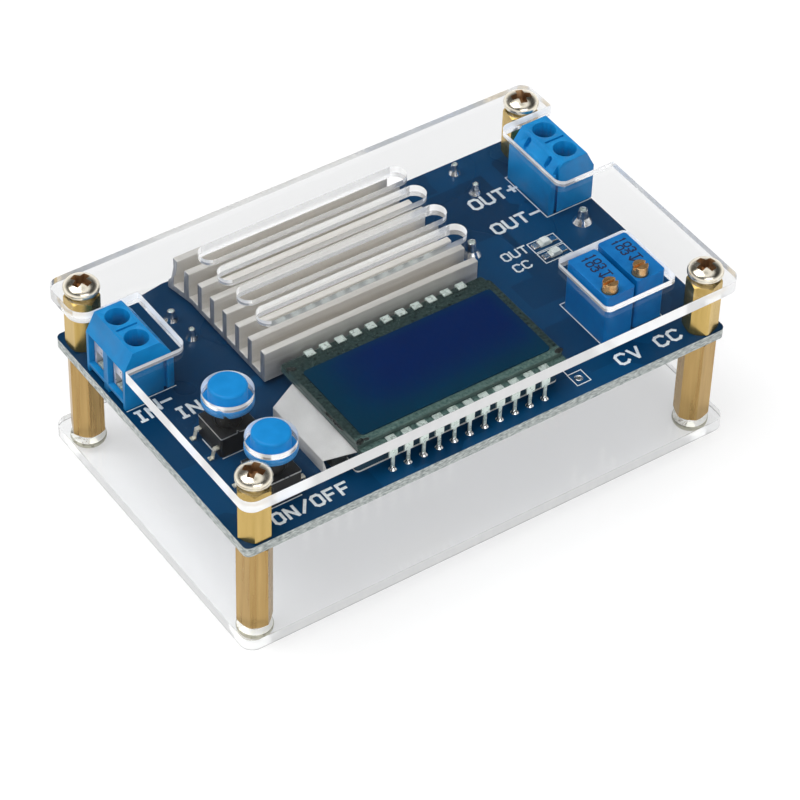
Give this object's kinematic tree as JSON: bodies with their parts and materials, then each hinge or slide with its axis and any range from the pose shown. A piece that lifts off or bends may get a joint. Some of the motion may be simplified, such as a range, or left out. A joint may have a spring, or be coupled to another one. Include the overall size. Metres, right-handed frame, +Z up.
{
  "type": "buck converter module",
  "caption": "Step-down converter module: clear plates on hex standoffs round a circuit board with heatsink, display, buttons, screw terminals and trimmers.",
  "frame": {"origin": "middle of the footprint, on the surface that the lower screw heads stand on", "axes": "+X along the long side from the input terminal to the output terminal, +Y to the back edge beside the heatsink, +Z up"},
  "size_m": [0.082, 0.052, 0.032],
  "materials": {
    "clear_acrylic": "clear polished sheet",
    "nickel_screw": "bright nickel plate",
    "brass_hex": "turned brass",
    "board_blue": "blue solder mask",
    "pad_grey": "soft pad",
    "bare_aluminium": "extruded",
    "white_film": "white film",
    "clear_guide": "clear moulding",
    "dark_film": "dark blue film",
    "display_glass": "clear glass",
    "tinned_metal": "tinned",
    "black_plastic": "moulded",
    "black_metal": "black coat",
    "cap_blue": "moulded",
    "terminal_blue": "moulded",
    "trimmer_blue": "moulded",
    "brass_adjuster": "turned brass",
    "lamp_lens": "clear lens",
    "solder": "bright solder",
    "can_sleeve": "sleeved can",
    "black_rubber": "rubber",
    "coil_core": "painted core",
    "enamelled_wire": "enamelled copper"
  },
  "bodies": {
    "module": {"base_plate": "clear_acrylic", "top_plate": "clear_acrylic", "bottom_screws": "nickel_screw", "top_screws": "nickel_screw", "lower_standoffs": "brass_hex", "upper_standoffs": "brass_hex", "circuit_board": "board_blue", "thermal_pad": "pad_grey", "heatsink": "bare_aluminium", "reflector_sheet": "white_film", "light_guide": "clear_guide", "lamp_cover": "white_film", "rear_polariser": "dark_film", "rear_glass": "display_glass", "front_glass": "display_glass", "front_polariser": "dark_film", "display_pins_front": "tinned_metal", "display_pins_back": "tinned_metal", "switch_bases": "black_plastic", "switch_covers": "black_metal", "switch_legs": "tinned_metal", "terminal_housing_in": "terminal_blue", "terminal_housing_out": "terminal_blue", "clamp_frames_in": "tinned_metal", "clamp_frames_out": "tinned_metal", "trimmer_bodies": "trimmer_blue", "trimmer_pins": "tinned_metal", "indicator_leds": "lamp_lens", "solder_joints": "solder", "capacitor_cans": "can_sleeve", "capacitor_bungs": "black_rubber", "capacitor_leads": "tinned_metal", "inductor_core": "coil_core", "inductor_winding": "enamelled_wire", "inductor_leads": "enamelled_wire", "power_chips": "black_plastic", "power_chip_metal": "tinned_metal", "control_chip": "black_plastic", "control_chip_legs": "tinned_metal"},
    "button_back": {"plunger_back": "black_plastic", "button_cap_back": "cap_blue"},
    "button_front": {"plunger_front": "black_plastic", "button_cap_front": "cap_blue"},
    "adjuster_cv": {"trimmer_screw_cv": "brass_adjuster"},
    "adjuster_cc": {"trimmer_screw_cc": "brass_adjuster"},
    "leaf_in_1": {"wire_leaf_in_1": "tinned_metal"},
    "screw_in_1": {"clamp_screw_in_1": "tinned_metal"},
    "leaf_in_2": {"wire_leaf_in_2": "tinned_metal"},
    "screw_in_2": {"clamp_screw_in_2": "tinned_metal"},
    "leaf_out_1": {"wire_leaf_out_1": "tinned_metal"},
    "screw_out_1": {"clamp_screw_out_1": "tinned_metal"},
    "leaf_out_2": {"wire_leaf_out_2": "tinned_metal"},
    "screw_out_2": {"clamp_screw_out_2": "tinned_metal"}
  },
  "joints": [
    {"name": "press_back", "type": "slide", "parent": "module", "child": "button_back", "axis": [0, 0, -1], "range_m": [0, 0.00025], "stiffness_N_per_m": 6000},
    {"name": "press_front", "type": "slide", "parent": "module", "child": "button_front", "axis": [0, 0, -1], "range_m": [0, 0.00025], "stiffness_N_per_m": 6000},
    {"name": "lift_in_1", "type": "slide", "parent": "module", "child": "leaf_in_1", "axis": [0, 0, 1], "range_m": [0, 0.002]},
    {"name": "turn_in_1", "type": "hinge", "parent": "leaf_in_1", "child": "screw_in_1", "pos_m": [-0.0362, 0.00941, 0.0262], "axis": [0, 0, 1], "range_deg": [0, 1440]},
    {"name": "lift_in_2", "type": "slide", "parent": "module", "child": "leaf_in_2", "axis": [0, 0, 1], "range_m": [0, 0.002]},
    {"name": "turn_in_2", "type": "hinge", "parent": "leaf_in_2", "child": "screw_in_2", "pos_m": [-0.0362, 0.01449, 0.0262], "axis": [0, 0, 1], "range_deg": [0, 1440]},
    {"name": "lift_out_1", "type": "slide", "parent": "module", "child": "leaf_out_1", "axis": [0, 0, 1], "range_m": [0, 0.002]},
    {"name": "turn_out_1", "type": "hinge", "parent": "leaf_out_1", "child": "screw_out_1", "pos_m": [0.0368, 0.01544, 0.0262], "axis": [0, 0, 1], "range_deg": [0, 1440]},
    {"name": "lift_out_2", "type": "slide", "parent": "module", "child": "leaf_out_2", "axis": [0, 0, 1], "range_m": [0, 0.002]},
    {"name": "turn_out_2", "type": "hinge", "parent": "leaf_out_2", "child": "screw_out_2", "pos_m": [0.0368, 0.01036, 0.0262], "axis": [0, 0, 1], "range_deg": [0, 1440]},
    {"name": "adjust_cv", "type": "hinge", "parent": "module", "child": "adjuster_cv", "pos_m": [0.02415, -0.01755, 0.03], "axis": [0, 0, 1], "continuous": true},
    {"name": "adjust_cc", "type": "hinge", "parent": "module", "child": "adjuster_cc", "pos_m": [0.02985, -0.01695, 0.03], "axis": [0, 0, 1], "continuous": true}
  ],
  "couplings": [
    {"joint": "turn_in_1", "follows": "lift_in_1", "rad_per_m": 12566},
    {"joint": "turn_in_2", "follows": "lift_in_2", "rad_per_m": 12566},
    {"joint": "turn_out_1", "follows": "lift_out_1", "rad_per_m": 12566},
    {"joint": "turn_out_2", "follows": "lift_out_2", "rad_per_m": 12566}
  ]
}
